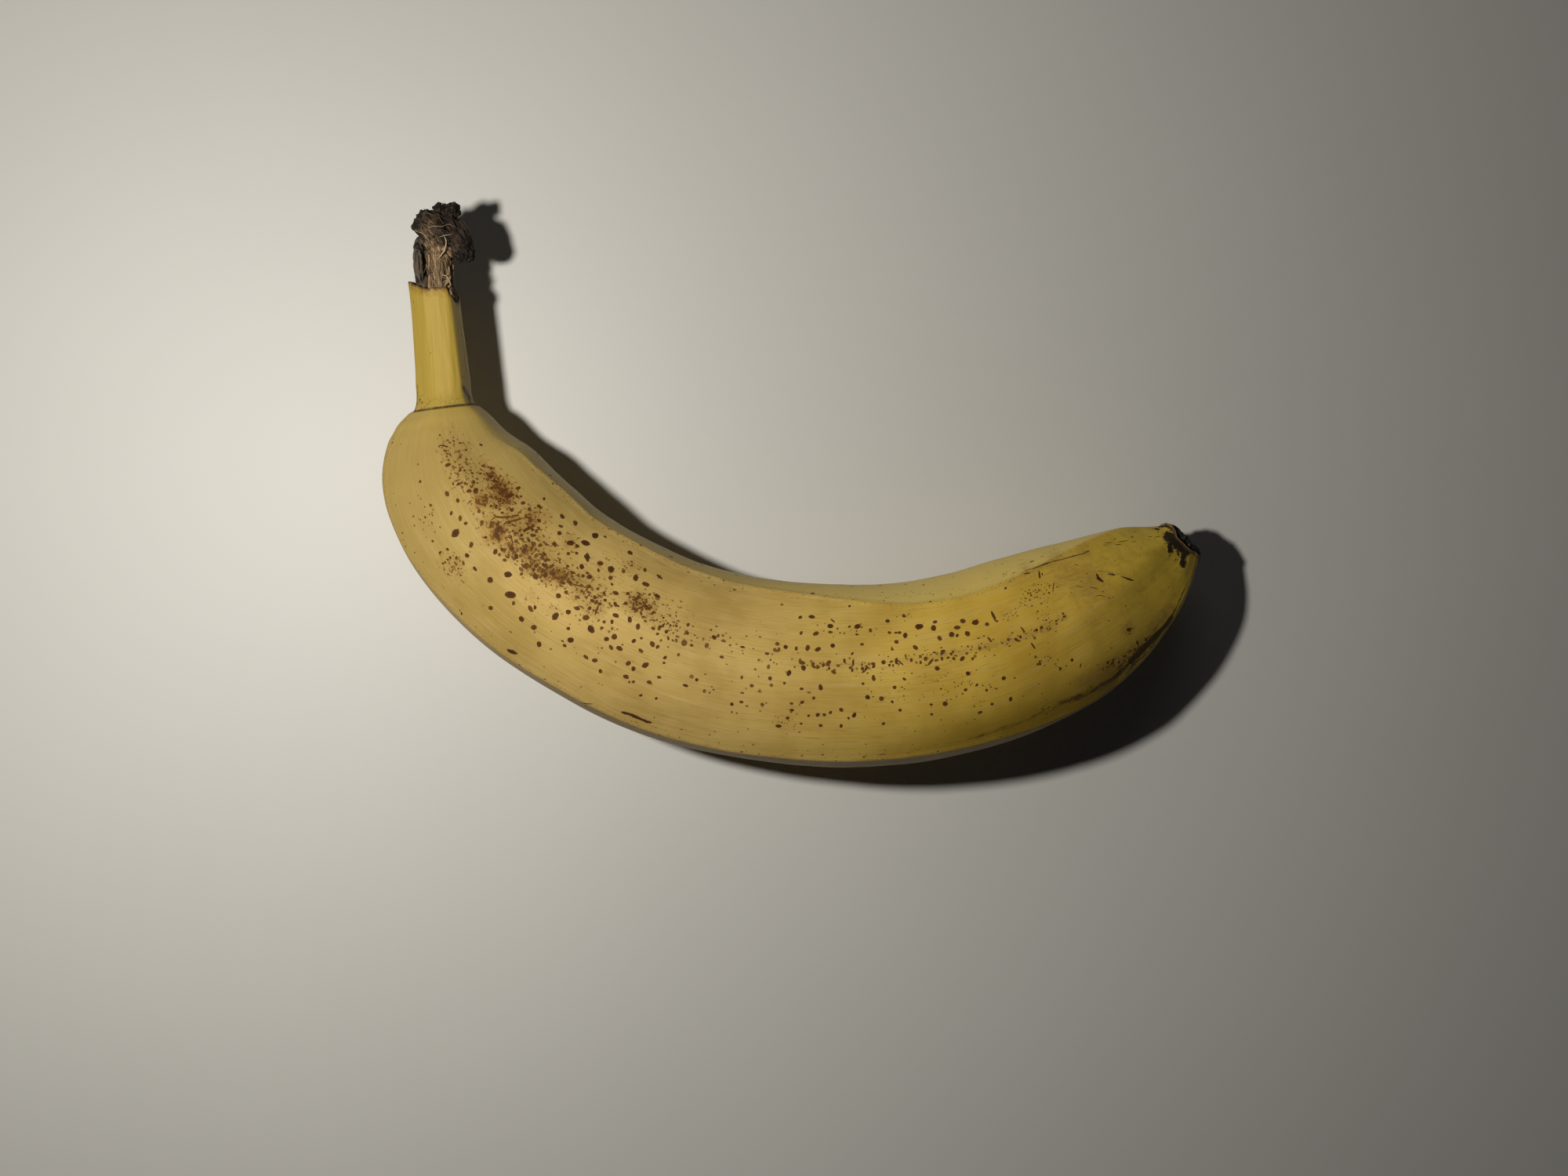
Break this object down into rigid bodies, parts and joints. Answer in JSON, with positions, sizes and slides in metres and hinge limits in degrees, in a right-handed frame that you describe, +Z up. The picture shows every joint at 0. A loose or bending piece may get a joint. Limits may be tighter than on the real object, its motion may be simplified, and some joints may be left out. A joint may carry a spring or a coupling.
{
  "type": "banana",
  "caption": "Ripe curved fruit lying on its side, with a five-sided skin, a stalk with a dry torn crown and a dark blossom scar; food or display item.",
  "frame": {"origin": "on the surface it lies on, under the middle of the fruit's box", "axes": "+X runs along the fruit from the stalk end to the blossom end, +Y points to the inside of the bend and +Z is up"},
  "size_m": [0.1764, 0.121, 0.0387],
  "materials": {
    "peel": "ripe yellow banana skin, waxy satin, with brown speckles, scuffed brown edges, a faint green tint at both ends, and a near-black dry fibrous crown and blossom scar"
  },
  "bodies": {
    "root": {"banana": "peel"}
  },
  "joints": []
}
